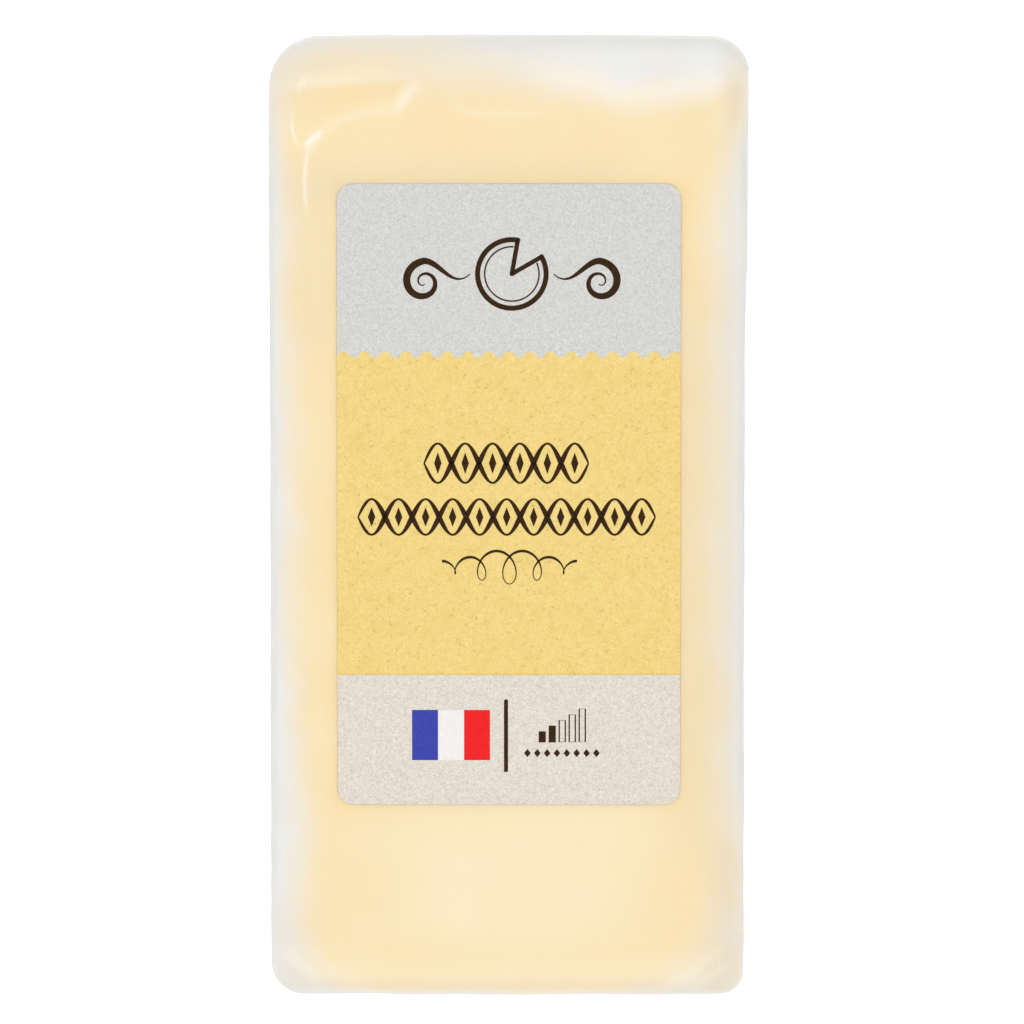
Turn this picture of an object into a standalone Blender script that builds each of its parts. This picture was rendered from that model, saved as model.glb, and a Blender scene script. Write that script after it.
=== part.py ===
"""A slab of triple cream brie in tight clear film, with a paper label on its front, lying on its back.

Metres, +Z up. The slab lies label side up with its length along Y, and +Y is the end that the label's top
points to. The origin is the centre of the face that it rests on.
"""

import math

import bmesh
import bpy

MM = 0.001

# The slab, film included, at its widest level
WIDTH = 64.8 * MM
LENGTH = 130.8 * MM
THICKNESS = 24.0 * MM
CORNER_RADII = {  # in plan, by the signs of the corner's x and y
    (1, 1): 5.3 * MM,
    (-1, 1): 6.7 * MM,
    (-1, -1): 4.4 * MM,
    (1, -1): 3.7 * MM,
}
TOP_CROWN = 0.25 * MM  # how far each end bows out in its middle
BOTTOM_CROWN = 0.1 * MM
FLARE = 0.4 * MM  # how far the right side stands out near the top end
FLARE_START = 18.0 * MM
FLARE_END = 55.0 * MM

# How far each front edge rolls over, from the silhouette to the flat of the face
LEFT_ROLL = 4.2 * MM
RIGHT_ROLL = 5.2 * MM
TOP_ROLL = 7.2 * MM
BOTTOM_ROLL = 3.8 * MM
FRONT_ROLL_DEPTH = 5.0 * MM
BACK_ROLL = 2.4 * MM
WIDEST_LEVEL = 9.0 * MM  # soft cheese sags, so this is below the middle of the thickness
WALL_BULGE = 0.6 * MM  # how far a wall falls away from its widest level towards either face
FACE_DOME = 0.45 * MM  # how far the middle of the front stands above its edges

# Where the film is gathered: a line of points (x, y), the ridge's height and its half width, all in mm
FILM_RIDGES = (
    (((-27.3, 42.0), (-27.1, 50.0), (-26.0, 51.6), (-22.8, 53.9), (-14.7, 56.0)), 0.45, 1.3),
    (((-15.1, 55.4), (-12.8, 58.5)), 0.35, 1.2),
    (((-5.8, 54.8), (3.0, 54.8)), 0.25, 1.5),
    (((22.7, -62.3), (25.6, -60.9), (28.0, -58.0)), 0.35, 1.3),
    (((-28.2, -57.5), (-25.5, -60.8), (-20.5, -62.5)), 0.35, 1.3),
)

# The label, a sticker that follows the front
LABEL_WIDTH = 46.2 * MM
LABEL_LENGTH = 83.7 * MM
LABEL_RADIUS = 2.1 * MM
LABEL_THICKNESS = 0.2 * MM
LABEL_CENTRE_Y = 3.4 * MM
LABEL_GAP = 0.3 * MM  # from the film to the label's underside

# Fineness of the meshes, as steps along each stretch
CORNER_STEPS = 6
SIDE_STEPS = 24
END_STEPS = 12
ROLL_STEPS = 6
WALL_STEPS = 4
FACE_INSETS = (1.2 * MM, 2.4 * MM, 3.8 * MM, 5.4 * MM, 7.5 * MM, 11.0 * MM, 16.0 * MM)
LABEL_INSETS = (4.0 * MM, 9.0 * MM, 15.0 * MM)

SHARP_ANGLE = math.radians(40)
CREAM = (0.95, 0.80, 0.55, 1.0)
GOLD_PAPER = (0.86, 0.66, 0.25, 1.0)


def clear_scene():
    for item in list(bpy.data.objects):
        bpy.data.objects.remove(item, do_unlink=True)


def plain_material(name, colour, roughness):
    made = bpy.data.materials.new(name)
    made.use_nodes = True
    shader = made.node_tree.nodes["Principled BSDF"]
    shader.inputs["Base Color"].default_value = colour
    shader.inputs["Roughness"].default_value = roughness
    shader.inputs["Metallic"].default_value = 0.0
    return made


def eased(value, low, high):
    """0 up to low, 1 from high, and a smooth step between them."""
    share = min(max((value - low) / (high - low), 0.0), 1.0)
    return share * share * (3 - 2 * share)


def rounded_rectangle(width, length, radii):
    """Points anticlockwise round a rectangle whose corner radii are keyed by the signs of x and y."""
    order = ((1, 1), (-1, 1), (-1, -1), (1, -1))
    arcs = []
    for quarter, corner in enumerate(order):
        radius = radii[corner]
        middle_x = corner[0] * (width / 2 - radius)
        middle_y = corner[1] * (length / 2 - radius)
        angles = [math.pi / 2 * (quarter + step / CORNER_STEPS) for step in range(CORNER_STEPS + 1)]
        arcs.append([(middle_x + radius * math.cos(a), middle_y + radius * math.sin(a)) for a in angles])
    points = []
    for quarter, arc in enumerate(arcs):
        points += arc
        (start_x, start_y), (end_x, end_y) = arc[-1], arcs[(quarter + 1) % 4][0]
        steps = SIDE_STEPS if quarter % 2 else END_STEPS
        for step in range(1, steps):
            share = step / steps
            points.append((start_x + (end_x - start_x) * share, start_y + (end_y - start_y) * share))
    return points


def slab_outline():
    """The slab in plan at its widest level, with crowned ends and a right side that flares near the top.

    It is moved by half of what these add, so that the origin stays in the middle.
    """
    middle_x, middle_y = FLARE / 2, (TOP_CROWN - BOTTOM_CROWN) / 2
    points = []
    for x, y in rounded_rectangle(WIDTH, LENGTH - TOP_CROWN - BOTTOM_CROWN, CORNER_RADII):
        end_share = eased(abs(y), LENGTH / 4, LENGTH / 2)
        crown = (TOP_CROWN if y > 0 else -BOTTOM_CROWN) * end_share * (1 - (2 * x / WIDTH) ** 2)
        flare = FLARE * eased(y, FLARE_START, FLARE_END) * max(2 * x / WIDTH, 0.0)
        points.append((x + flare - middle_x, y + crown - middle_y))
    return points


def label_outline():
    """The label in plan, about its own centre."""
    return rounded_rectangle(LABEL_WIDTH, LABEL_LENGTH, dict.fromkeys(CORNER_RADII, LABEL_RADIUS))


def from_middle_line(point, width, length):
    """How far a point stands across and along from the nearest point of a rectangle's middle line."""
    x, y = point
    reach = (length - width) / 2
    return x, y - min(max(y, -reach), reach)


def drawn_in(point, distance, width, length):
    """The outline's point moved in towards the middle line, which keeps corners round at any distance."""
    across, along = from_middle_line(point, width, length)
    share = distance / (width / 2)
    return point[0] - across * share, point[1] - along * share


def front_roll(point):
    """How wide the front edge's roll is at a point of the outline, eased from side to end at a corner."""
    across, along = from_middle_line(point, WIDTH, LENGTH)
    side = RIGHT_ROLL if across > 0 else LEFT_ROLL
    end = TOP_ROLL if along > 0 else BOTTOM_ROLL
    side_share = across**2 / (across**2 + along**2)
    return side * side_share + end * (1 - side_share)


def wall_inset(z):
    """How far the side wall stands in from the widest level at this height, as a parabola."""
    rise = z - WIDEST_LEVEL
    reach = WIDEST_LEVEL if rise < 0 else THICKNESS - WIDEST_LEVEL
    return WALL_BULGE * (rise / reach) ** 2


def slab_profile(point):
    """(distance in, height) from the back's edge at a point of the outline to the middle of the front.

    The back's edge is a quarter round, the wall a parabola, and the front's edge a quarter ellipse.
    """
    foot, head = BACK_ROLL, THICKNESS - FRONT_ROLL_DEPTH
    foot_in, head_in = wall_inset(foot), wall_inset(head)
    roll = front_roll(point)
    turns = [math.pi / 2 * step / ROLL_STEPS for step in range(ROLL_STEPS + 1)]
    back = [(foot_in + foot * (1 - math.sin(turn)), foot * (1 - math.cos(turn))) for turn in turns]
    heights = [foot + (head - foot) * step / WALL_STEPS for step in range(1, WALL_STEPS)]
    wall = [(wall_inset(z), z) for z in heights]
    front = [
        (head_in + (roll - head_in) * (1 - math.cos(turn)), head + FRONT_ROLL_DEPTH * math.sin(turn))
        for turn in turns
    ]
    face = [(roll + further, THICKNESS) for further in FACE_INSETS]
    return back + wall + front + face


def dome(x, y):
    """How far the front's slight dome stands above its edge."""
    across = max(1 - (2 * x / WIDTH) ** 2, 0.0)
    along = max(1 - (2 * y / LENGTH) ** 4, 0.0)
    return FACE_DOME * across * along


def distance_to_line(x, y, line):
    """The shortest distance from (x, y) to a line of points."""
    distances = []
    for (ax, ay), (bx, by) in zip(line, line[1:]):
        run, climb = bx - ax, by - ay
        share = ((x - ax) * run + (y - ay) * climb) / (run**2 + climb**2)
        share = min(max(share, 0.0), 1.0)
        distances.append(math.hypot(x - ax - share * run, y - ay - share * climb))
    return min(distances)


def film_ridge(x, y):
    """The height of the gathered film, whose ridges are bell shaped across their lines."""
    heights = [
        height * math.exp(-((distance_to_line(x / MM, y / MM, line) / half_width) ** 2))
        for line, height, half_width in FILM_RIDGES
    ]
    return max(heights) * MM


def slab_rings():
    """Rings of (x, y, z) from the back's edge up the wall, over the front edge and in across the face."""
    outline = slab_outline()
    profiles = [slab_profile(point) for point in outline]
    rings = []
    for level in zip(*profiles):
        ring = []
        for point, (distance, z) in zip(outline, level):
            x, y = drawn_in(point, distance, WIDTH, LENGTH)
            on_front = eased(z, THICKNESS - FRONT_ROLL_DEPTH, THICKNESS)
            ring.append((x, y, z + (dome(x, y) + film_ridge(x, y)) * on_front))
        rings.append(ring)
    return rings


def label_rings():
    """Rings from the middle of the label's underside out to its edge, up, and back in over its top."""
    sheets = []
    for height in (THICKNESS + LABEL_GAP, THICKNESS + LABEL_GAP + LABEL_THICKNESS):
        rings = []
        for distance in (0.0, *LABEL_INSETS):
            plan = [drawn_in(point, distance, LABEL_WIDTH, LABEL_LENGTH) for point in label_outline()]
            placed = [(x, y + LABEL_CENTRE_Y) for x, y in plan]
            rings.append([(x, y, height + dome(x, y)) for x, y in placed])
        sheets.append(rings)
    under, over = sheets
    return under[::-1] + over


def solid_from_rings(name, rings, finish):
    """An object whose skin bridges each ring to the next one, with a face across the first and the last."""
    mesh_builder = bmesh.new()
    loops = [[mesh_builder.verts.new(point) for point in ring] for ring in rings]
    for lower, upper in zip(loops, loops[1:]):
        count = len(lower)
        for i in range(count):
            after = (i + 1) % count
            mesh_builder.faces.new((lower[i], lower[after], upper[after], upper[i]))
    mesh_builder.faces.new(loops[0][::-1])
    mesh_builder.faces.new(loops[-1])
    bmesh.ops.triangulate(mesh_builder, faces=mesh_builder.faces)
    mesh = bpy.data.meshes.new(name)
    mesh_builder.to_mesh(mesh)
    mesh_builder.free()
    mesh.materials.append(finish)
    mesh.shade_smooth()
    mesh.set_sharp_from_angle(angle=SHARP_ANGLE)
    made = bpy.data.objects.new(name, mesh)
    bpy.context.scene.collection.objects.link(made)
    return made


clear_scene()
solid_from_rings("wrapped_brie", slab_rings(), plain_material("cream_under_film", CREAM, 0.3))
solid_from_rings("label", label_rings(), plain_material("gold_paper", GOLD_PAPER, 0.6))
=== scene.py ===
"""A film-wrapped slab of triple cream brie with a paper label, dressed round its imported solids.

Metres, +Z up. The slab lies on its back with its label up, and the label's top points to +Y.
"""

import math

import bpy
import numpy as np
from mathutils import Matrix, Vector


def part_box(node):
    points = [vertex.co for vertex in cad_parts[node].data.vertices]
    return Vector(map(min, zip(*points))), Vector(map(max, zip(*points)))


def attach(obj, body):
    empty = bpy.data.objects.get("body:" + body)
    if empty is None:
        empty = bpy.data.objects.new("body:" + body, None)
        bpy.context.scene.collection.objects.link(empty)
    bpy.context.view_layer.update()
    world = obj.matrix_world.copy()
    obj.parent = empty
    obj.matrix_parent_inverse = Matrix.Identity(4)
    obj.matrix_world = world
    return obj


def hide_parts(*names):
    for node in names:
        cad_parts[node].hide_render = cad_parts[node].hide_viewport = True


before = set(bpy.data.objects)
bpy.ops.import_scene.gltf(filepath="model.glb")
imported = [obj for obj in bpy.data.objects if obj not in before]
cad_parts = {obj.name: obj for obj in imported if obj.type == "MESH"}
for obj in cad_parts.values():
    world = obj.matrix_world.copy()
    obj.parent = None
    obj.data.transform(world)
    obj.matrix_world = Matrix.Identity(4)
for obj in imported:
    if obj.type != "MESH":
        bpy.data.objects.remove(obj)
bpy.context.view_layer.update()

# The cheese is one slab cut across a loaf-shaped brie. Its two cut faces, front and back, are soft yellow
# paste, and the sides round them are the loaf's white bloomy rind, which rolls a little over both faces.

MM = 0.001
low_corner, high_corner = (np.array(corner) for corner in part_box("wrapped_brie"))
SLAB_WIDTH, SLAB_LENGTH = (high_corner - low_corner)[:2]
FACE_HEIGHT = 24.0 * MM
CORNERS = ((-1, 1, 6.7 * MM), (-1, -1, 4.4 * MM), (1, -1, 3.2 * MM), (1, 1, 4.8 * MM))
TOP_CROWN = 0.25 * MM
BOTTOM_CROWN = 0.1 * MM
FLARE = 0.4 * MM
FLARE_START, FLARE_END = 18.0 * MM, 55.0 * MM
LEFT_ROLL, RIGHT_ROLL, TOP_ROLL, BOTTOM_ROLL = 4.2 * MM, 5.2 * MM, 7.2 * MM, 3.8 * MM
FRONT_ROLL_DEPTH = 5.0 * MM
BACK_ROLL = 2.4 * MM
WIDEST_LEVEL = 9.0 * MM
WALL_BULGE = 0.6 * MM
FACE_DOME = 0.45 * MM
SIDE_SPARSITY = 2.2  # how much further apart the mesh's points are along the sides than near the ends


def eased(values, low, high):
    """0 up to low, 1 from high, and between them 3 t^2 - 2 t^3 of the share t of the way."""
    share = np.clip((values - low) / (high - low), 0.0, 1.0)
    return share * share * (3 - 2 * share)


def rounded_outline(width, length, corners, pitch):
    """Points anticlockwise from the middle of the top end of a rectangle with round corners.

    Each corner is a centre plus its radius times the cosine and sine of a quarter turn, and straight runs
    join them. Points are then set along each half a pitch apart near the ends and SIDE_SPARSITY times that
    along the sides: they are where the running sum of length over spacing passes even steps. Both halves
    have as many, so the one at place k on the left faces the one at count - k.
    """
    quarters = []
    for number, (sign_x, sign_y, radius) in enumerate(corners):
        turn = math.pi / 2 * (number + 1 + np.linspace(0, 1, 60))
        centre = np.array((sign_x * (width / 2 - radius), sign_y * (length / 2 - radius)))
        quarters.append(centre[:, None] + radius * np.array((np.cos(turn), np.sin(turn))))
    top, bottom = np.array([[0.0], [length / 2]]), np.array([[0.0], [-length / 2]])
    halves = (top, quarters[0], quarters[1], bottom), (bottom, quarters[2], quarters[3], top)
    count = 0
    spread = []
    for half in halves:
        x, y = np.concatenate(half, axis=1)
        travelled = np.append(0, np.cumsum(np.hypot(np.diff(x), np.diff(y))))
        places = np.linspace(0, travelled[-1], 4000)
        x, y = np.interp(places, travelled, x), np.interp(places, travelled, y)
        at_side = 1 - eased(np.abs(y), length / 2 - 26 * MM, length / 2 - 16 * MM)
        spacing = pitch * (1 + (SIDE_SPARSITY - 1) * at_side)
        steps = np.append(0, np.cumsum(np.diff(places) / spacing[1:]))
        count = count or math.ceil(steps[-1])
        chosen = np.arange(count) / count * steps[-1]
        spread.append((np.interp(chosen, steps, x), np.interp(chosen, steps, y)))
    return np.concatenate(spread, axis=1)


def drawn_in(plan, inset, width, length):
    """The outline moved in by an inset, as a share of the way to the nearest point of its middle line."""
    x, y = plan
    reach = (length - width) / 2
    share = inset / (width / 2)
    return x * (1 - share), y - (y - np.clip(y, -reach, reach)) * share


def slab_plan(pitch):
    """The slab's outline: its ends bow out by a parabola in x, and its right side flares by an eased step."""
    x, y = rounded_outline(SLAB_WIDTH - FLARE, SLAB_LENGTH - TOP_CROWN - BOTTOM_CROWN, CORNERS, pitch)
    at_end = eased(np.abs(y), SLAB_LENGTH / 4, SLAB_LENGTH / 2) * (1 - (2 * x / SLAB_WIDTH) ** 2)
    crown = np.where(y > 0, TOP_CROWN, -BOTTOM_CROWN) * at_end
    flare = FLARE * eased(y, FLARE_START, FLARE_END) * np.maximum(2 * x / SLAB_WIDTH, 0)
    return np.array((x + flare - FLARE / 2, y + crown - (TOP_CROWN - BOTTOM_CROWN) / 2))


def dome(x, y):
    """How far the front stands above its edge: 1 - x^2 across, times 1 - y^4 along."""
    across = np.clip(1 - (2 * x / SLAB_WIDTH) ** 2, 0, 1)
    return FACE_DOME * across * np.clip(1 - (2 * y / SLAB_LENGTH) ** 4, 0, 1)


def wall_inset(z):
    """How far a wall stands in from its widest level: a parabola of the height to either side of it."""
    reach = np.where(z < WIDEST_LEVEL, WIDEST_LEVEL, FACE_HEIGHT - WIDEST_LEVEL)
    return WALL_BULGE * ((z - WIDEST_LEVEL) / reach) ** 2


def slab_skin(pitch, back_levels=10):
    """The slab's whole surface as a grid of points (level, place round it, xyz), and its outward normals.

    The levels run out over the back, round its edge by a quarter circle, up the wall by a parabola, over the
    front's edge by a quarter ellipse as wide as that side's roll, and in over the domed front.
    """
    plan = slab_plan(pitch)
    x, y = plan
    reach = (SLAB_LENGTH - SLAB_WIDTH) / 2
    along = y - np.clip(y, -reach, reach)
    side_part = x**2 / (x**2 + along**2)
    roll = np.where(x > 0, RIGHT_ROLL, LEFT_ROLL) * side_part
    roll = roll + np.where(y > 0, TOP_ROLL, BOTTOM_ROLL) * (1 - side_part)
    middle, rim = SLAB_WIDTH / 2 - pitch / 2, 13.0 * MM
    front_turn = np.linspace(0, math.pi / 2, math.ceil(FRONT_ROLL_DEPTH * 1.6 / pitch))[:, None]
    back_turn = np.linspace(0, math.pi / 2, math.ceil(BACK_ROLL * 1.6 / pitch))[:, None]
    head = FACE_HEIGHT - FRONT_ROLL_DEPTH
    foot_in, head_in = wall_inset(BACK_ROLL), wall_inset(head)
    rim_share = np.linspace(0, 1, math.ceil(rim * 0.7 / pitch))[1:, None]
    inner_share = np.linspace(0, 1, 10)[1:, None]
    back_share = np.linspace(1, 0, back_levels)[:-1, None]
    wall = np.linspace(BACK_ROLL, head, math.ceil(head / pitch / 2))[1:-1, None]
    back_flat = foot_in + BACK_ROLL
    stretches = (
        (back_flat + (middle - back_flat) * back_share, 0 * back_share),
        (foot_in + BACK_ROLL * (1 - np.sin(back_turn)), BACK_ROLL * (1 - np.cos(back_turn))),
        (wall_inset(wall), wall),
        (head_in + (roll - head_in) * (1 - np.cos(front_turn)), head + FRONT_ROLL_DEPTH * np.sin(front_turn)),
        (roll + (rim - roll) * rim_share, FACE_HEIGHT + 0 * rim_share),
        (rim + (middle - rim) * inner_share, FACE_HEIGHT + 0 * inner_share),
    )
    blank = np.zeros_like(x)
    inset = np.concatenate([insets + blank for insets, _ in stretches])
    height = np.concatenate([heights + blank for _, heights in stretches])
    x, y = drawn_in(plan, inset, SLAB_WIDTH, SLAB_LENGTH)
    points = np.stack((x, y, height + dome(x, y) * eased(height, head, FACE_HEIGHT)), axis=-1)
    return points, grid_normals(points)


def grid_normals(points):
    """Unit normals: the cross product of the step round the grid and the step from level to level."""
    round_step = np.roll(points, -1, axis=1) - np.roll(points, 1, axis=1)
    level_step = np.gradient(points, axis=0)
    normals = np.cross(round_step, level_step)
    return normals / np.linalg.norm(normals, axis=-1, keepdims=True)


def waves(points, length, seed, count=24):
    """Soft uneven values about 0: the sum of sine waves near this length, in random directions and phases."""
    draw = np.random.default_rng(seed)
    directions = draw.normal(size=(count, 3))
    directions /= np.linalg.norm(directions, axis=1, keepdims=True)
    rates = directions * (2 * math.pi / length * draw.uniform(0.6, 1.4, (count, 1)))
    return np.sin(points @ rates.T + draw.uniform(0, 2 * math.pi, count)).sum(axis=-1) / math.sqrt(count / 2)


def closed_skin(name, points, material):
    """A closed mesh over a grid of points (level, place round it): quads between levels, and both end rings
    zipped shut by quads from place k to place count - k."""
    levels, around = points.shape[:2]
    index = np.arange(levels * around).reshape(levels, around)
    after = np.roll(index, -1, axis=1)
    sides = np.stack((index[:-1], after[:-1], after[1:], index[1:]), axis=-1).reshape(-1, 4)
    left = np.arange(1, around // 2 - 1)
    zipped = np.stack((left, left + 1, around - left - 1, around - left), axis=-1)
    ends = np.array(((0, 1, around - 1), (around // 2 - 1, around // 2, around // 2 + 1)))
    last = index[-1, 0]
    faces = sides.tolist() + (zipped + last).tolist() + (ends + last).tolist()
    faces += zipped[:, ::-1].tolist() + ends[:, ::-1].tolist()
    mesh = bpy.data.meshes.new(name)
    mesh.from_pydata(points.reshape(-1, 3).tolist(), [], faces)
    mesh.shade_smooth()
    mesh.materials.append(material)
    made = bpy.data.objects.new(name, mesh)
    bpy.context.scene.collection.objects.link(made)
    return made


def paint(made, name, values):
    """Keeps one number for each point of a mesh, for its material to read."""
    made.data.attributes.new(name, "FLOAT", "POINT").data.foreach_set("value", values.ravel())


class Socket:
    """One output in a material. Arithmetic on it adds Math nodes, and node() adds any other node."""

    def __init__(self, tree, output=None):
        self.tree = tree
        self.output = output

    def node(self, kind, settings=(), values=(), output=0):
        """Adds a node: first its settings, then its inputs by name or number as links or values."""
        made = self.tree.nodes.new(kind)
        for name, setting in dict(settings).items():
            setattr(made, name, setting)
        for place, value in dict(values).items():
            if isinstance(value, Socket):
                self.tree.links.new(value.output, made.inputs[place])
            else:
                made.inputs[place].default_value = value
        return Socket(self.tree, made.outputs[output] if made.outputs else None)

    def maths(self, operation, *others):
        return self.node("ShaderNodeMath", {"operation": operation}, enumerate((self, *others)))

    def __add__(self, other):
        return self.maths("ADD", other)

    def __sub__(self, other):
        return self.maths("SUBTRACT", other)

    def __rsub__(self, other):
        return self * -1 + other

    def __mul__(self, other):
        return self.maths("MULTIPLY", other)

    __radd__ = __add__
    __rmul__ = __mul__

    def eased(self, low, high):
        """0 up to low, 1 from high, and a smooth step between them."""
        values = {"Value": self, "From Min": low, "From Max": high}
        return self.node("ShaderNodeMapRange", {"interpolation_type": "SMOOTHSTEP"}, values)

    def mixed(self, first, second):
        """A colour from first to second by this share."""
        return self.node("ShaderNodeMix", {"data_type": "RGBA"}, {0: self, 6: first, 7: second}, 2)

    def place(self):
        """The point's place on the object, in metres."""
        return self.node("ShaderNodeTexCoord", output="Object")

    def axis(self, name):
        """One of a vector's parts: X, Y or Z."""
        return self.node("ShaderNodeSeparateXYZ", values={0: self}, output=name)

    def noise(self, size, detail=2.0, roughness=0.5, distortion=0.0):
        """Clouds from 0 to 1, about size across."""
        values = {
            "Vector": self.place(),
            "Scale": 1 / size,
            "Detail": detail,
            "Roughness": roughness,
            "Distortion": distortion,
        }
        return self.node("ShaderNodeTexNoise", values=values)

    def painted(self, name):
        """The number that paint() kept under this name."""
        return self.node("ShaderNodeAttribute", {"attribute_name": name}, output="Fac")

    def bumped(self, depth, distance):
        """A normal that follows this height, a share of the distance in metres."""
        return self.node("ShaderNodeBump", values={"Height": self, "Strength": depth, "Distance": distance})


def new_material(name):
    """An empty material, and the Socket that adds its nodes."""
    material = bpy.data.materials.new(name)
    material.use_nodes = True
    material.node_tree.nodes.clear()
    return material, Socket(material.node_tree)


def finish_material(socket, shader):
    socket.node("ShaderNodeOutputMaterial", values={"Surface": shader})


def srgb(red, green, blue):
    """A colour seen on a screen, 0 to 255, as the linear colour that a shader takes."""
    share = np.array((red, green, blue)) / 255
    linear = np.where(share <= 0.04045, share / 12.92, ((share + 0.055) / 1.055) ** 2.4)
    return (*linear.tolist(), 1.0)


# Where the paste ends and the rind begins on the front: how far out each side's line lies, and its corners
PASTE_LEFT, PASTE_RIGHT = -29.25 * MM, 29.1 * MM
PASTE_BOTTOM = -66.2 * MM
PASTE_TOP_AT_LEFT, PASTE_TOP_AT_RIGHT = 61.5 * MM, 58.0 * MM
PASTE_RADII = ((-1, 1, 8.0 * MM), (-1, -1, 11.5 * MM), (1, -1, 17.5 * MM), (1, 1, 2.0 * MM))
CHEESE_PITCH = 0.4 * MM
FILM_ROOM = 0.12 * MM  # the cheese's walls stand this far inside the film
FACE_SWELL = 0.34 * MM  # the cut face swells out this much further


def past_paste(x, y):
    """How far a point lies outside the paste: the distance to a box shrunk by each corner's radius, less it.

    The box's left side leans out to the top, its right side steps out there, and its top side slopes down
    from left to right, drops by a step and rises again to the end.
    """
    left = PASTE_LEFT - 0.028 * y - 1.5 * MM * eased(y, 42 * MM, 56 * MM)
    right = PASTE_RIGHT + 1.0 * MM * eased(y, 42 * MM, 56 * MM)
    slope = np.clip((x + 16 * MM) / (28 * MM), 0, 1)
    top = PASTE_TOP_AT_LEFT + (PASTE_TOP_AT_RIGHT - PASTE_TOP_AT_LEFT) * slope
    top = top - 1.6 * MM * eased(x, 11.5 * MM, 15 * MM) + 1.3 * MM * eased(x, 16 * MM, 27 * MM)
    radius = np.zeros_like(x)
    for sign_x, sign_y, corner_radius in PASTE_RADII:
        radius = np.where((x * sign_x > 0) & (y * sign_y > 0), corner_radius, radius)
    out_x = np.maximum(x - right, left - x) + radius
    out_y = np.maximum(y - top, PASTE_BOTTOM - y) + radius
    outside = np.hypot(np.maximum(out_x, 0), np.maximum(out_y, 0))
    return outside + np.minimum(np.maximum(out_x, out_y), 0) - radius


def rind_share(points):
    """1 on the rind, 0 on the paste: an eased step across the paste's edge.

    The edge wanders, is softest at the top left, and lies further out the deeper a point is below its face,
    so that the walls' middle is rind. One patch has little rind.
    """
    x, y, z = np.moveaxis(points, -1, 0)
    at_top = eased(y, 50 * MM, 58 * MM)
    softness = 3.4 + 1.6 * eased(x, 15 * MM, 28 * MM) * (1 - at_top)
    softness = softness + at_top * (2.8 - 2.9 * eased(x, -10 * MM, 15 * MM))
    wander = 0.4 * MM * waves(points, 14 * MM, seed=3) + 0.15 * MM * waves(points, 4 * MM, seed=4)
    past = past_paste(x, y) + wander + 0.4 * wall_depth(z)
    return eased(past, -softness * MM, softness * MM) * (1 - 0.7 * bare_patch(x, y))


def bare_patch(x, y):
    """1 in the middle of an upright oval near the top right corner, falling as a bell."""
    return np.exp(-(((x - 30.8 * MM) / (1.8 * MM)) ** 2) - ((y - 57.0 * MM) / (4.2 * MM)) ** 2)


def creamy_fringe(points):
    """How creamy the rind is where it begins at the right of the top end, 0 to 1: a bell across its line."""
    x, y, _ = np.moveaxis(points, -1, 0)
    bell = np.exp(-(((past_paste(x, y) - 0.8 * MM) / (2.2 * MM)) ** 2))
    along = eased(x, -2 * MM, 10 * MM) * (1 - eased(x, 26 * MM, 30 * MM))
    return 0.4 * bell * along * eased(y, 50 * MM, 54 * MM)


def wall_depth(z):
    """How far a point is from the nearer of the two cut faces, measured along the thickness."""
    return np.clip(np.minimum(FACE_HEIGHT - z, z), 0, None)


def on_front(z):
    """1 on the front half of the slab, 0 on the back half."""
    return eased(z, FACE_HEIGHT / 2 - 2 * MM, FACE_HEIGHT / 2 + 2 * MM)


def label_edge_distance(x, y):
    """How far a point is outside the label's straight sides."""
    low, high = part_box("label")
    out_x = np.abs(x) - high[0]
    out_y = np.abs(y - (low[1] + high[1]) / 2) - (high[1] - low[1]) / 2
    return np.hypot(np.maximum(out_x, 0), np.maximum(out_y, 0)) + np.minimum(np.maximum(out_x, out_y), 0)


def paste_depth_and_label_shade(points):
    """How deeply yellow the paste is, 0 to 1, with painted shade by the label.

    It is palest in a soft pool below the label and along the bottom, and deepest in a band by the top left
    corner, which starts under a paler fringe and fades towards the label. By the label's edges it is made
    deeper as painted shade, where the label keeps light off the paste.
    """
    x, y, z = np.moveaxis(points, -1, 0)
    pool = 1 - eased(np.abs(y + 48 * MM), 5 * MM, 15 * MM)
    pool = pool * (1 - eased(np.abs(x - 1 * MM), 8 * MM, 26 * MM))
    pool = np.maximum(pool, 1 - eased(y, -64 * MM, -56 * MM))
    # Painted shade: the paste is deepened near the label's edges, where the label keeps light off it.
    edge = 1 - eased(label_edge_distance(x, y), -1 * MM, 2.5 * MM)
    edge = edge * (0.4 + 0.6 * eased(y, -42 * MM, -36 * MM)) * on_front(z)
    below_line = 58.1 * MM + 0.075 * (x + 29 * MM) - y
    band = eased(below_line, -0.4 * MM, 0.5 * MM) * (1 - eased(below_line, 0.5 * MM, 4.5 * MM))
    fringe = eased(-below_line, -0.5 * MM, 0.4 * MM) * (1 - eased(-below_line, 0.4 * MM, 3.5 * MM))
    band = (0.3 * band - 0.55 * fringe) * (1 - eased(x, -15 * MM, -12 * MM))
    drift = 0.06 * waves(points, 16 * MM, seed=5)
    return np.clip(0.6 - 0.55 * pool + 0.4 * edge + band + drift, 0, 1)


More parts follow.
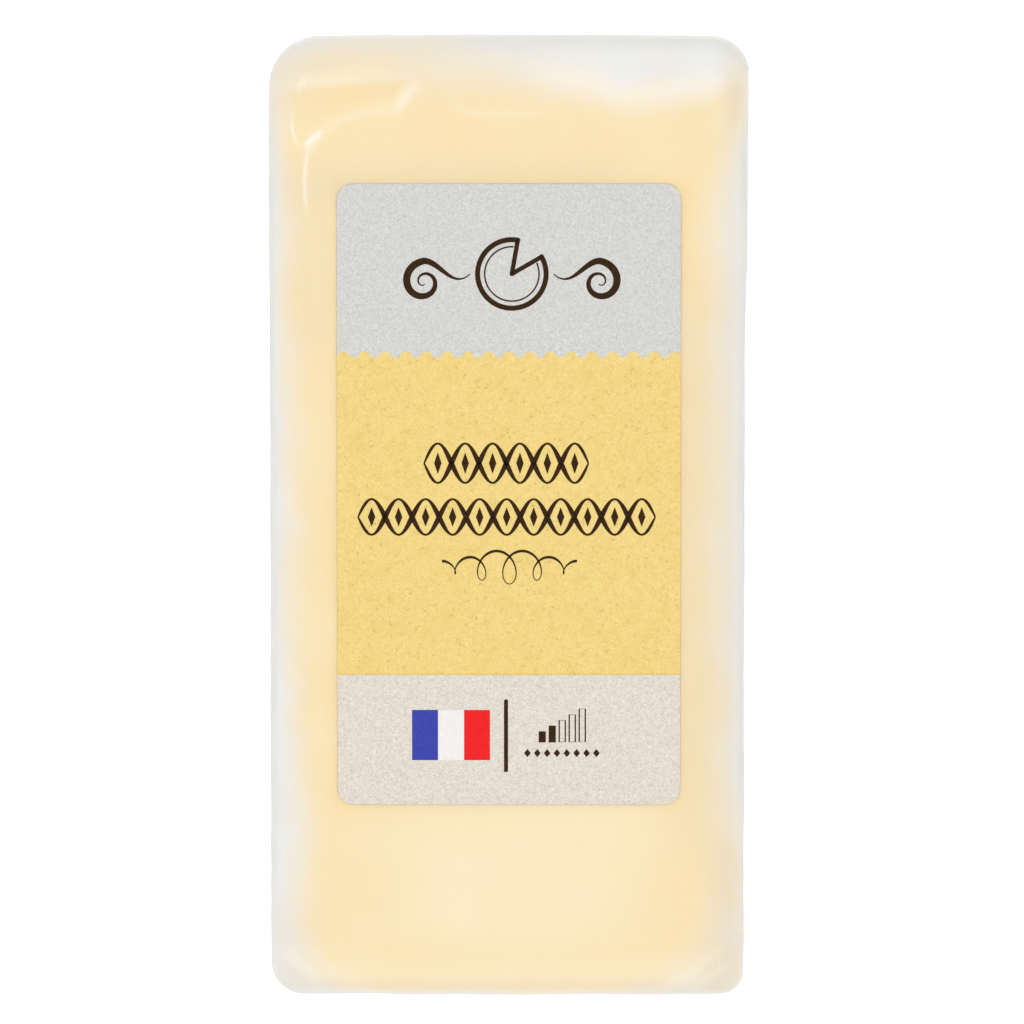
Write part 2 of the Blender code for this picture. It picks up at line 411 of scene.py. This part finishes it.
def paste_shade_and_dullness(points):
    """How much darker and greyer the paste is, 0 to 1: painted shade over the label's top edge, down the
    right side, along the bottom edge and on the walls, and a greyer tone left of the label's top and in
    the bare patch."""
    x, y, z = np.moveaxis(points, -1, 0)
    above = eased(y, 40 * MM, 45 * MM) * (1 - eased(y, 45 * MM, 51 * MM)) * (1 - eased(x, 12 * MM, 22 * MM))
    left = (1 - eased(x, -25 * MM, -22 * MM)) * (1 - eased(np.abs(y - 33 * MM), 6 * MM, 14 * MM))
    right = eased(x, 18 * MM, 27 * MM) * (1 - eased(np.abs(y + 6 * MM), 28 * MM, 46 * MM))
    right = np.maximum(right, low_right(x, y))
    wall = eased(wall_depth(z), 0.5 * MM, 4 * MM)
    bottom = 1 - eased(y, -64 * MM, -61 * MM)
    # Painted shade above the label's top edge, down the right side, along the bottom and on the walls.
    darker = 0.45 * above * on_front(z) + 0.3 * left + 0.55 * right + 0.45 * bottom + 0.9 * bare_patch(x, y)
    return np.clip(np.maximum(darker, 0.6 * wall), 0, 1)


def low_right(x, y):
    """1 by the right side's lower end, 0 from there up and in."""
    return eased(x, 25 * MM, 29 * MM) * (1 - eased(y, -46 * MM, -36 * MM))


def rind_warmth(points):
    """How beige the rind is, 0 to 1: most over the left of the top end, and down the right and round the
    bottom corners."""
    x, y, _ = np.moveaxis(points, -1, 0)
    top = eased(y, 48 * MM, 58 * MM) * (1 - eased(x, -14 * MM, 14 * MM))
    corner = np.where(x > 0, 1 - eased(y, -52 * MM, -26 * MM), 0.6 * (1 - eased(y, -58 * MM, -44 * MM)))
    drift = 0.12 * waves(points, 12 * MM, seed=6)
    warm = 0.15 + 0.5 * np.maximum(top, corner) + 0.8 * bare_patch(x, y) + 0.3 * low_right(x, y)
    return np.clip(warm + drift, 0, 1)


def rind_shade_share(points):
    """How much painted shade darkens the rind, 0 to 1: it grows down the walls and a little towards the right
    side."""
    x, _, z = np.moveaxis(points, -1, 0)
    return np.maximum(eased(wall_depth(z), 0.3 * MM, 3.5 * MM), 0.25 * eased(x, 27 * MM, 30 * MM))


def unevenness(points):
    """The cheese's soft swells, which are flatter down the walls and fade out under the label."""
    x, y, z = np.moveaxis(points, -1, 0)
    swells = (0.06 * waves(points, 17 * MM, seed=1) + 0.04 * waves(points, 6 * MM, seed=2)) * MM
    flatter = 1 - 0.6 * eased(FACE_HEIGHT - z, 0, 6 * MM)
    near_label = (1 - eased(label_edge_distance(x, y), 0, 4 * MM)) * (z > FACE_HEIGHT / 2)
    return swells * flatter * (1 - near_label)


CREASE_SPREAD = 1.6  # how much wider a crease's ridge is than the highlight painted along its crest
CREASES = (  # points in mm, height, half width and how strong the highlight painted on the paste under it is
    (((-27.4, 41.5), (-27.3, 45.0), (-27.1, 49.0), (-26.2, 51.4)), 0.08, 0.5, 0.12),
    (((-26.9, 49.6), (-26.2, 51.2), (-25.0, 52.3)), 0.12, 0.7, 0.5),
    (((-26.4, 51.0), (-24.4, 52.9), (-22.6, 53.9), (-19.6, 55.0)), 0.12, 0.9, 0.12),
    (((-22.6, 53.9), (-19.4, 55.1), (-16.8, 55.8), (-12.6, 56.4)), 0.1, 1.1, 0.12),
    (((-29.1, 54.9), (-28.9, 52.4), (-27.6, 49.9)), 0.06, 0.4, 0.1),
    (((-15.4, 55.0), (-14.2, 56.6), (-12.6, 58.5)), 0.1, 0.9, 0.6),
    (((-7.6, 55.9), (-3.6, 54.6), (5.4, 54.6)), 0.07, 0.55, 0.25),
    (((-29.8, 57.6), (-24.0, 58.4), (-18.0, 59.0), (-13.4, 59.4)), 0.12, 1.0, 0.06),
    (((21.4, -63.0), (24.4, -61.6), (28.6, -58.0)), 0.12, 0.8, 0.3),
    (((24.8, -63.4), (27.0, -61.8), (29.4, -60.6)), 0.12, 0.7, 0.25),
    (((-29.6, -58.6), (-28.6, -59.8), (-26.0, -61.8)), 0.12, 0.8, 0.35),
    (((-27.5, -57.0), (-25.0, -60.4), (-20.6, -62.6)), 0.1, 0.8, 0.2),
)


def curve_through(knots, count):
    """A smooth curve through the knots: each stretch is the Catmull-Rom cubic of the four knots round it."""
    knots = np.array(knots)
    padded = np.concatenate((2 * knots[:1] - knots[1:2], knots, 2 * knots[-1:] - knots[-2:-1]))
    place = np.linspace(0, len(knots) - 1, count)
    start = np.minimum(place.astype(int), len(knots) - 2)
    t = (place - start)[:, None]
    a, b, c, d = (padded[start + step] for step in range(4))
    return 0.5 * (2 * b + (c - a) * t + (2 * a - 5 * b + 4 * c - d) * t**2 + (3 * (b - c) + d - a) * t**3)


def crease_share(x, y, knots, half_width):
    """1 along a crease and 0 away from it: a bell across the line, under an arch that fades at both ends."""
    line = curve_through(knots, 40) * MM
    arch = np.sin(np.linspace(0.12, 0.88, len(line)) * math.pi) ** 0.7
    squares = (x[..., None] - line[:, 0]) ** 2 + (y[..., None] - line[:, 1]) ** 2
    return (arch * np.exp(-squares / (half_width * MM) ** 2)).max(axis=-1)


def creased(points):
    """How high the film's creases stand on the front, and how strong the highlight painted on the paste
    under them is, 0 to 1.
    """
    x, y, z = np.moveaxis(points, -1, 0)
    height, glint = np.zeros_like(x), np.zeros_like(x)
    for knots, ridge, half_width, glint_strength in CREASES:
        height = np.maximum(height, ridge * MM * crease_share(x, y, knots, half_width * CREASE_SPREAD))
        # Painted highlight: the paste under each crease is lightened in place of the film's glint.
        glint = np.maximum(glint, glint_strength * crease_share(x, y, knots, half_width))
    near_front = eased(z, FACE_HEIGHT - 4 * MM, FACE_HEIGHT - 1 * MM)
    return height * near_front, glint * near_front


GLINT_LINES = (  # whether it runs along x, where and how it turns in mm, half width, both ends and highlight strength
    (False, 45.3, -27.4, 0.0227, 0.55, 39.8, 52.8, 0.5),
    (False, 53.3, -29.1, 0.1, 0.32, 49.8, 54.6, 0.6),
    (True, -15.3, 55.4, -0.032, 1.5, -28.0, -12.5, 0.22),
    (True, -15.3, 55.1, -0.032, 1.2, -27.8, -24.6, 0.95),
)


def cheese_material():
    """Soft yellow paste that turns to white bloomy rind by the painted share, both lit from within. Painted
    shade darkens parts of the paste and the rind's walls, and painted highlights along the film's creases
    lighten it.

    Each highlight line is a parabola: the place across it is its crest plus its bend times the square of how
    far the place along it is from its turn.
    """
    material, s = new_material("paste_and_rind")
    rind = s.painted("rind") + (s.noise(1.6 * MM, 3.0) - 0.5) * 0.16
    rind = rind.maths("MINIMUM", 1).maths("MAXIMUM", 0)
    # The deeper yellow here carries the painted shade by the label's edges.
    deep_and_label_shade = s.painted("deep_and_label_shade") + (s.noise(7 * MM, 3.0) - 0.5) * 0.2
    paste = deep_and_label_shade.mixed(srgb(245, 228, 190), srgb(243, 217, 162))
    # Painted shade, and a greyer tone in places, darken the paste by this share.
    paste = s.painted("shade_and_dull").mixed(paste, srgb(229, 211, 176))
    x, y, z = (s.place().axis(name) for name in "XYZ")
    near_front = z.eased(FACE_HEIGHT - 4 * MM, FACE_HEIGHT - 1 * MM)
    glint_and_press = s.painted("glint_and_press")
    # Painted highlights: light lines along the film's creases, standing in for its glints.
    for x_along, turn, crest, bend, half_width, low, high, share in GLINT_LINES:
        along, across = (x, y) if x_along else (y, x)
        away = along - turn * MM
        off = (across - crest * MM - away * away * (bend / MM)).maths("ABSOLUTE")
        fade = (high - low) * 0.3 * MM
        ends = along.eased(low * MM, low * MM + fade) * (1 - along.eased(high * MM - fade, high * MM))
        line = (1 - off.eased(0, half_width * MM)) * ends * near_front
        glint_and_press = glint_and_press.maths("MAXIMUM", line * share)
    warm = s.painted("warm") + (s.noise(6 * MM, 4.0, 0.6) - 0.5) * 0.5
    bloom = warm.mixed(srgb(230, 231, 230), srgb(228, 217, 196))
    # Painted shade greys the rind down the walls and by the right side, less where the rind is beige.
    bloom = (s.painted("rind_shade") * (1 - warm * 0.9)).mixed(bloom, srgb(214, 214, 210))
    velvet = s.noise(0.5 * MM, 3.0, 0.65)
    lumps = s.noise(3.5 * MM, 3.0)
    relief = (velvet * 0.35 + lumps) * rind + s.noise(1.2 * MM, 3.0) * 0.25 * (1 - rind)
    # The last mix lightens the colour with painted highlights of the film's creases and the rind's creamy
    # fringe.
    values = {
        "Base Color": glint_and_press.mixed(rind.mixed(paste, bloom), srgb(253, 245, 229)),
        "Roughness": rind * 0.3 + 0.45,
        "Subsurface Weight": 0.25,
        "Subsurface Radius": (1.0, 0.7, 0.4),
        "Subsurface Scale": 2.5 * MM,
        "Normal": relief.bumped(0.5, 0.25 * MM),
    }
    finish_material(s, s.node("ShaderNodeBsdfPrincipled", {"subsurface_method": "BURLEY"}, values))
    return material


points, normals = slab_skin(CHEESE_PITCH)
on_face = eased(points[..., 2], FACE_HEIGHT - 3 * MM, FACE_HEIGHT)
rind = rind_share(points)
fringe = creamy_fringe(points)
crease_height, glint_and_press = creased(points)
swell = FACE_SWELL * on_face + crease_height
points = points + normals * (unevenness(points) + swell - FILM_ROOM)[..., None]
cheese = closed_skin("cheese_slab", points, cheese_material())
paint(cheese, "rind", rind)
paint(cheese, "deep_and_label_shade", paste_depth_and_label_shade(points))
paint(cheese, "shade_and_dull", paste_shade_and_dullness(points))
paint(cheese, "warm", rind_warmth(points))
paint(cheese, "rind_shade", rind_shade_share(points))
# Painted highlights of the film's creases, together with the rind's creamy fringe.
paint(cheese, "glint_and_press", np.maximum(glint_and_press, fringe))
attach(cheese, "root")
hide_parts("wrapped_brie")

# The wrap is one sheet of clear packing film, drawn tight round the slab. It is gathered into a few soft
# creases by the top left corner and small folds down the walls, and its edges lap in a flat seam behind.

FILM_PITCH = 0.35 * MM
FILM_LIFT = 0.27 * MM  # how far the film stands off the cheese's front
FOLD_HEIGHT = 0.05 * MM
SEAM_MIDDLE, SEAM_WIDTH, SEAM_RISE = 4.0 * MM, 11.0 * MM, 0.12 * MM
FILM_MIRROR = 0.02  # the share of light that the film mirrors straight on


def wall_folds(points):
    """Folds in the film round the walls, 0 to 1: sharp crests of slow waves, most at the corners.

    Flattening the points' height before taking the waves makes the folds run up the walls near the corners,
    and flattening their length makes them run along the sides.
    """
    x, y, z = np.moveaxis(points, -1, 0)
    on_wall = eased(z, 1 * MM, 4 * MM) * (1 - eased(z, FACE_HEIGHT - 6 * MM, FACE_HEIGHT - 1.5 * MM))
    at_corner = eased(np.abs(x), SLAB_WIDTH / 2 - 12 * MM, SLAB_WIDTH / 2 - 3 * MM)
    at_corner = at_corner * eased(np.abs(y), SLAB_LENGTH / 2 - 16 * MM, SLAB_LENGTH / 2 - 4 * MM)
    upright = np.exp(-((waves(points * (1, 1, 0.12), 7 * MM, seed=7) / 0.22) ** 2))
    lengthwise = np.exp(-((waves(points * (0.16, 0.16, 1), 8 * MM, seed=8) / 0.25) ** 2))
    return on_wall * (at_corner * upright + 0.5 * (1 - at_corner) * lengthwise)


def film_material():
    """Clear film: see-through, with a mirror's share that grows to the rim, and a little milky in folds and
    where it laps behind, most at the lap's two edges."""
    material, s = new_material("clear_film")
    from_seam = (s.place().axis("X") - SEAM_MIDDLE).maths("ABSOLUTE") - SEAM_WIDTH / 2
    behind = 1 - s.place().axis("Z").eased(0.3 * MM, 1.5 * MM)
    lap = (1 - from_seam.eased(-0.2 * MM, 0.1 * MM)) * behind
    lap_edge = (1 - from_seam.maths("ABSOLUTE").eased(0, 0.4 * MM)) * behind
    ripple = (s.noise(5 * MM, 3.0) + lap * 0.8).bumped(0.06, 0.3 * MM)
    values = {"Color": (0.78, 0.775, 0.76, 1), "Roughness": 0.12, "Normal": ripple}
    gloss = s.node("ShaderNodeBsdfAnisotropic", values=values)
    clear = s.node("ShaderNodeBsdfTransparent", values={"Color": (0.995, 0.995, 0.995, 1)})
    milk_front = s.node("ShaderNodeBsdfDiffuse", values={"Color": srgb(255, 250, 240)})
    milk_through = s.node("ShaderNodeBsdfTranslucent", values={"Color": srgb(255, 250, 240)})
    milk = s.node("ShaderNodeMixShader", values={0: 0.5, 1: milk_front, 2: milk_through})
    facing = s.node("ShaderNodeLayerWeight", values={"Blend": 0.5, "Normal": ripple}, output="Facing")
    mirror = facing.maths("POWER", 5) * (1 - FILM_MIRROR) + FILM_MIRROR
    film = s.node("ShaderNodeMixShader", values={0: mirror, 1: clear, 2: gloss})
    haze = s.painted("milk") * (s.noise(2.5 * MM, 3.0) * 0.3 + 0.85) + lap * 0.06 + lap_edge * 0.3
    finish_material(s, s.node("ShaderNodeMixShader", values={0: haze, 1: film, 2: milk}))
    return material


points, normals = slab_skin(FILM_PITCH, back_levels=24)  # close enough together to shape the lap
x, y, z = np.moveaxis(points, -1, 0)
on_face = eased(z, FACE_HEIGHT - 3 * MM, FACE_HEIGHT)
crease_height, glint_and_press = creased(points)
folds = wall_folds(points)
height = FILM_LIFT * on_face + crease_height + unevenness(points) + FOLD_HEIGHT * folds
milky = np.maximum(0.08 * glint_and_press, 0.25 * folds)
seam = 1 - eased(np.abs(x - SEAM_MIDDLE), SEAM_WIDTH / 2 - 0.6 * MM, SEAM_WIDTH / 2)
height = height - SEAM_RISE * (1 - eased(z, 0, 1 * MM)) * (1 - seam)
film = closed_skin("film_wrap", points + normals * height[..., None], film_material())
paint(film, "milk", milky)
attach(film, "root")
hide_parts("wrapped_brie")

# The label is one sheet of stiff paper with silver and gold fields printed on it, stuck flat on the film's
# front. The gold field's top edge is scalloped like a stamp's, and the paper has a fine grain.

label_low, label_high = (np.array(corner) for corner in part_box("label"))
LABEL_WIDTH, LABEL_LENGTH = (label_high - label_low)[:2]
LABEL_MIDDLE = (label_high[1] + label_low[1]) / 2
LABEL_CORNERS = tuple((sign_x, sign_y, 2.1 * MM) for sign_x, sign_y in ((-1, 1), (-1, -1), (1, -1), (1, 1)))
LABEL_BACK, LABEL_FRONT = FACE_HEIGHT + 0.3 * MM, FACE_HEIGHT + 0.5 * MM
LABEL_PITCH = 0.45 * MM
LABEL_SLOPE, LABEL_PRESSED = 0.35 * MM, 0.11 * MM
SHARP_ANGLE = math.radians(40)
GOLD_TOP, GOLD_BOTTOM = 22.7 * MM, -20.9 * MM
NOTCH_PITCH, NOTCH_RADIUS, NOTCH_START = 2.78 * MM, 0.76 * MM, -20.8 * MM


def label_skin(pitch):
    """The label as a grid of points: rings from the middle of its back out to its edge and in over its front.

    The front's edge is pushed down nearly to the film.
    """
    plan = rounded_outline(LABEL_WIDTH, LABEL_LENGTH, LABEL_CORNERS, pitch)
    inner = np.linspace(LABEL_SLOPE, LABEL_WIDTH / 2 - pitch / 2, math.ceil(LABEL_WIDTH / 4 / pitch))
    inset = np.append(0, inner)[:, None]
    x, y = drawn_in(plan, inset, LABEL_WIDTH, LABEL_LENGTH)
    y = y + LABEL_MIDDLE
    # How far the label's front is pushed down at its edge.
    glint_and_press = LABEL_PRESSED * (1 - eased(inset, 0, LABEL_SLOPE))
    front = np.stack((x, y, dome(x, y) + LABEL_FRONT - glint_and_press), axis=-1)
    back = np.stack((x, y, dome(x, y) + LABEL_BACK), axis=-1)
    return np.concatenate((back[::-1], front))


def label_material():
    """Paper in silver, gold and warm silver from the top down.

    The notches are circles at equal steps along the gold's top edge: a point is in one where its distance
    from the nearest centre, by a triangle wave of x, is under the radius.
    """
    material, s = new_material("printed_paper")
    x, y = s.place().axis("X"), s.place().axis("Y")
    across = (x - NOTCH_START).maths("PINGPONG", NOTCH_PITCH / 2)
    above = y - GOLD_TOP
    from_notch = (across * across + above * above).maths("SQRT") - NOTCH_RADIUS
    gold = from_notch.maths("SMOOTH_MIN", above * -1, 0.5 * MM).eased(-0.04 * MM, 0.04 * MM)
    below = 1 - y.eased(GOLD_BOTTOM - 0.04 * MM, GOLD_BOTTOM + 0.04 * MM)
    grain = s.noise(0.34 * MM, 3.0, 0.7, distortion=1.5)
    fleck = s.noise(0.6 * MM, 4.0, 0.75).eased(0.56, 0.7)
    silver = grain.eased(0.3, 0.7).mixed(srgb(188, 188, 185), srgb(218, 217, 213))
    warm = grain.eased(0.3, 0.7).mixed(srgb(197, 190, 178), srgb(234, 226, 215))
    metal = grain.eased(0.3, 0.7).mixed(srgb(224, 195, 113), srgb(243, 216, 138))
    mottle = s.noise(1.5 * MM, 3.0, 0.6).eased(0.45, 0.7)
    metal = (fleck * 0.7).mixed((mottle * 0.35).mixed(metal, srgb(219, 190, 104)), srgb(190, 160, 82))
    line = 1 - (y - GOLD_BOTTOM - 0.12 * MM).maths("ABSOLUTE").eased(0.05 * MM, 0.2 * MM)
    metal = (line * 0.35).mixed(metal, srgb(200, 166, 76))
    paper = gold.mixed(silver, metal)
    paper = below.mixed(paper, warm)
    values = {
        "Base Color": paper,
        "Roughness": 0.62 - gold * (1 - below) * 0.08,
        "Specular IOR Level": 0.35,
        "Normal": grain.bumped(0.25, 0.05 * MM),
    }
    finish_material(s, s.node("ShaderNodeBsdfPrincipled", values=values))
    return material


label = closed_skin("paper_label", label_skin(LABEL_PITCH), label_material())
label.data.set_sharp_from_angle(angle=SHARP_ANGLE)
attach(label, "root")
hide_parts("label")

# The print is a thin film of ink on the label: a cut cheese between two scrolls, two chain bands, a pen
# flourish, a tricolour flag, a divider and a gauge of five bars with two filled.

INK_LIFT, INK_THICKNESS = 0.004 * MM, 0.02 * MM


def ribbon(path, half_width, closed=False):
    """A flat stroke of ink: the path's points moved to both sides by the half width along its normal.

    Each place on it has four points, left and right, below and above, and quads join it to the next place.
    """
    path = np.asarray(path, dtype=float)
    if closed:
        step = np.roll(path, -1, axis=0) - np.roll(path, 1, axis=0)
    else:
        step = np.gradient(path, axis=0)
    step /= np.linalg.norm(step, axis=1, keepdims=True)
    aside = np.stack((-step[:, 1], step[:, 0]), axis=1) * np.broadcast_to(half_width, len(path))[:, None]
    left, right = (path + aside) * MM, (path - aside) * MM
    corners = []
    for plan, lift in ((left, INK_LIFT), (right, INK_LIFT), (right, INK_THICKNESS), (left, INK_THICKNESS)):
        height = LABEL_FRONT + dome(plan[:, 0], plan[:, 1]) + lift
        corners.append(np.column_stack((plan, height)))
    index = np.arange(len(path) * 4).reshape(-1, 4)
    following = np.roll(index, -1, axis=0)
    faces = np.stack((index, np.roll(index, -1, axis=1), np.roll(following, -1, axis=1), following), axis=-1)
    if not closed:
        ends = np.stack((index[0, ::-1], index[-1]))
        faces = np.concatenate((faces[:-1].reshape(-1, 4), ends))
    return np.stack(corners, axis=1).reshape(-1, 3), faces.reshape(-1, 4)


def stroked(name, ribbons, material):
    """One piece from several ribbons."""
    points, faces, count = [], [], 0
    for part_points, part_faces in ribbons:
        points.append(part_points)
        faces.append(part_faces + count)
        count += len(part_points)
    mesh = bpy.data.meshes.new(name)
    mesh.from_pydata(np.concatenate(points).tolist(), [], np.concatenate(faces).tolist())
    mesh.materials.append(material)
    made = bpy.data.objects.new(name, mesh)
    bpy.context.scene.collection.objects.link(made)
    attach(made, "root")
    return made


def bar(x, low, high, half_width):
    """An upright filled bar."""
    return ribbon(((x, low), (x, (low + high) / 2), (x, high)), half_width)


def disc(x, y, radius):
    """A filled disc: its half width is the circle's half chord at each place across it."""
    turn = np.linspace(0.05, math.pi - 0.05, 25)
    return ribbon(np.column_stack((x - radius * np.cos(turn), np.full(25, y))), radius * np.sin(turn))


def lozenge(x, y, half_width, half_height):
    """A filled lozenge: its half width falls evenly from its middle to both ends."""
    share = np.linspace(-0.98, 0.98, 9)
    return ribbon(np.column_stack((np.full(9, x), y + half_height * share)), half_width * (1 - np.abs(share)))


def arc(x, y, radius, start, end, half_width):
    """Part of a ring, from one angle to another in degrees."""
    turn = np.radians(np.linspace(start, end, 60))
    return ribbon(np.column_stack((x + radius * np.cos(turn), y + radius * np.sin(turn))), half_width)


def chain(left, right, low, high, links):
    """Two waves that cross between each two discs, thick where they rise and thin at their crests."""
    turn = np.linspace(0, links * math.pi, links * 24 + 1)
    x = np.linspace(left, right, len(turn))
    middle, swing = (low + high) / 2, (high - low) / 2 - 0.2
    width = (0.14 + 0.2 * np.cos(turn) ** 2) * (0.3 + 0.7 * np.minimum(1, np.minimum(turn, turn[::-1])))
    strands = [ribbon(np.column_stack((x, middle + side * swing * np.sin(turn))), width) for side in (-1, 1)]
    eyes = left + (right - left) * (np.arange(links) + 0.5) / links
    return strands + [lozenge(eye, middle, 0.5, swing * 0.55) for eye in eyes]


def scroll(x, y, side):
    """A pen scroll that leaves the cheese to one side, swells, and curls in as an evenly tighter spiral."""
    turn = np.linspace(0, 1, 90)
    angle = math.pi * (0.5 - 3.1 * turn**1.25)
    radius = 2.6 * (1 - turn) ** 0.9 + 0.25
    curl_x = 6.2 + radius * np.cos(angle)
    curl_y = -1.1 + radius * np.sin(angle)
    stem_share = np.linspace(0, 1, 40)[:-1]
    stem_x = curl_x[0] * stem_share
    stem_y = curl_y[0] * stem_share**2 * (3 - 2 * stem_share)
    stem_y -= 1.8 * np.sin(math.pi * stem_share) * (1 - stem_share)
    path = np.column_stack((np.append(stem_x, curl_x), np.append(stem_y, curl_y)))
    place = np.linspace(0, 1, len(path))
    width = 0.07 + 0.42 * np.sin(math.pi * place**0.8) ** 2
    return ribbon(path * (side, 1) + (x, y), width)


def flourish(left, right, middle, height):
    """A row of pen loops, tall in the middle and small at the ends: a circling point that moves evenly."""
    turn = np.linspace(-5 * math.pi, 5 * math.pi, 400)
    share = turn / (5 * math.pi)
    tall = height / 2 * (0.35 + 0.65 * np.cos(math.pi / 2 * share) ** 2)
    x = (left + right) / 2 + (right - left) / 2 * 0.93 * share - tall * 0.75 * np.sin(turn)
    y = middle - tall * np.cos(turn)
    return ribbon(np.column_stack((x, y)), 0.06 + 0.12 * np.sin(turn / 2) ** 4)


def ink_material(name, dark, light):
    """Printed ink, a little lighter where the paper's grain shows through."""
    material, s = new_material(name)
    worn = s.noise(0.5 * MM, 4.0, 0.7).eased(0.35, 0.75)
    values = {"Base Color": worn.mixed(dark, light), "Roughness": 0.6, "Specular IOR Level": 0.1}
    finish_material(s, s.node("ShaderNodeBsdfPrincipled", values=values))
    return material


dark_ink = ink_material("dark_ink", srgb(48, 29, 8), srgb(60, 41, 18))
WHEEL_X, WHEEL_Y, WHEEL_RADIUS = 0.4, 33.2, 4.6
emblem = [
    arc(WHEEL_X, WHEEL_Y, WHEEL_RADIUS, 80, 390, 0.34),
    arc(WHEEL_X, WHEEL_Y, WHEEL_RADIUS - 0.95, 86, 384, 0.1),
    scroll(WHEEL_X + 5.6, WHEEL_Y, 1),
    scroll(WHEEL_X - 5.6, WHEEL_Y, -1),
]
for angle in (80, 30):
    out = np.array((math.cos(math.radians(angle)), math.sin(math.radians(angle))))
    emblem.append(ribbon((WHEEL_X, WHEEL_Y) + out * np.linspace(0, WHEEL_RADIUS, 5)[:, None], 0.3))
    emblem.append(disc(*((WHEEL_X, WHEEL_Y) + out * WHEEL_RADIUS), 0.34))
emblem.append(disc(WHEEL_X, WHEEL_Y, 0.3))
gauge = []
for number in range(5):
    x, top = 4.5 + 1.35 * number, -28.5 + 0.78 * number
    if number < 2:
        gauge.append(bar(x, -30.0, top, 0.48))
    else:
        sides = (x - 0.41, x + 0.41)
        outline = ((sides[0], -29.93), (sides[0], top - 0.07), (sides[1], top - 0.07), (sides[1], -29.93))
        gauge.append(ribbon(outline, 0.09, closed=True))
gauge += [lozenge(2.5 + 1.33 * number, -31.45, 0.45, 0.55) for number in range(8)]
stroked("ink_emblem", emblem, dark_ink)
stroked("ink_bands", chain(-11.4, 10.7, 4.9, 10.6, 6) + chain(-20.3, 19.7, -2.1, 3.1, 11), dark_ink)
stroked("ink_flourish", [flourish(-9.7, 9.85, -6.25, 4.6)], dark_ink)
stroked("ink_divider", [bar(-0.39, -34.0, -24.3, 0.27), disc(-0.39, -24.4, 0.26)], dark_ink)
stroked("ink_gauge", gauge, dark_ink)
FLAG_LOW, FLAG_HIGH = -32.4, -25.6
FLAG = (
    ("blue", -13.06, -9.56, (57, 65, 163)),
    ("white", -9.56, -6.05, (230, 227, 224)),
    ("red", -6.05, -2.55, (229, 31, 33)),
)
for name, left, right, colour in FLAG:
    lighter = tuple(min(channel + 8, 255) for channel in colour)
    ink = ink_material(f"{name}_ink", srgb(*colour), srgb(*lighter))
    stroked(f"flag_{name}", [bar((left + right) / 2, FLAG_LOW, FLAG_HIGH, (right - left) / 2)], ink)

# The floor is a plain pale board, and the light is a white room with four softboxes.

FLOOR_HALF = 3.0
floor_mesh = bpy.data.meshes.new("floor")
floor_corners = [(FLOOR_HALF * x, FLOOR_HALF * y, 0) for x, y in ((-1, -1), (1, -1), (1, 1), (-1, 1))]
floor_mesh.from_pydata(floor_corners, [], [(0, 1, 2, 3)])
floor = bpy.data.objects.new("floor", floor_mesh)
bpy.context.scene.collection.objects.link(floor)
material, s = new_material("pale_board")
tone = s.noise(0.3, 2.0).mixed((0.95, 0.95, 0.95, 1), (0.97, 0.97, 0.97, 1))
values = {"Base Color": tone, "Roughness": 0.9, "Emission Color": (1, 1, 1, 1), "Emission Strength": 0.18}
finish_material(s, s.node("ShaderNodeBsdfPrincipled", values=values))
floor_mesh.materials.append(material)

world = bpy.data.worlds.new("white_room")
bpy.context.scene.world = world
world.use_nodes = True
world.node_tree.nodes["Background"].inputs["Color"].default_value = (1, 1, 1, 1)
world.node_tree.nodes["Background"].inputs["Strength"].default_value = 1.0

BOX_SIDE = 0.25
BOX_REACH = 1.3
BOX_POWER = 0.6
for azimuth, share in ((40, 1.2), (140, 1.6), (220, 0.6), (320, 0.4)):
    lamp = bpy.data.lights.new(f"softbox_{azimuth}", "AREA")
    lamp.size = BOX_SIDE
    lamp.energy = BOX_POWER * share
    lean = math.radians(35)
    turn = math.radians(azimuth)
    holder = bpy.data.objects.new(lamp.name, lamp)
    holder.location = (
        BOX_REACH * math.sin(lean) * math.cos(turn),
        BOX_REACH * math.sin(lean) * math.sin(turn),
        BOX_REACH * math.cos(lean),
    )
    holder.rotation_euler = (0, lean, turn)
    bpy.context.scene.collection.objects.link(holder)

CAMERA_DISTANCE = 0.8
CAMERA_TILT = math.radians(4)
PIXELS_PER_METRE = 7310
AIM = (0.42 * MM, 0.27 * MM, 12 * MM)
camera = bpy.data.cameras.new("camera")
camera.sensor_width = 36
camera.lens = camera.sensor_width * PIXELS_PER_METRE * CAMERA_DISTANCE / 1024
camera.clip_end = 20
view = bpy.data.objects.new("camera", camera)
view.location = (
    AIM[0],
    AIM[1] + CAMERA_DISTANCE * math.sin(CAMERA_TILT),
    AIM[2] + CAMERA_DISTANCE * math.cos(CAMERA_TILT),
)
view.rotation_euler = (-CAMERA_TILT, 0, 0)
bpy.context.scene.collection.objects.link(view)
bpy.context.scene.camera = view
bpy.context.scene.view_settings.view_transform = "Standard"
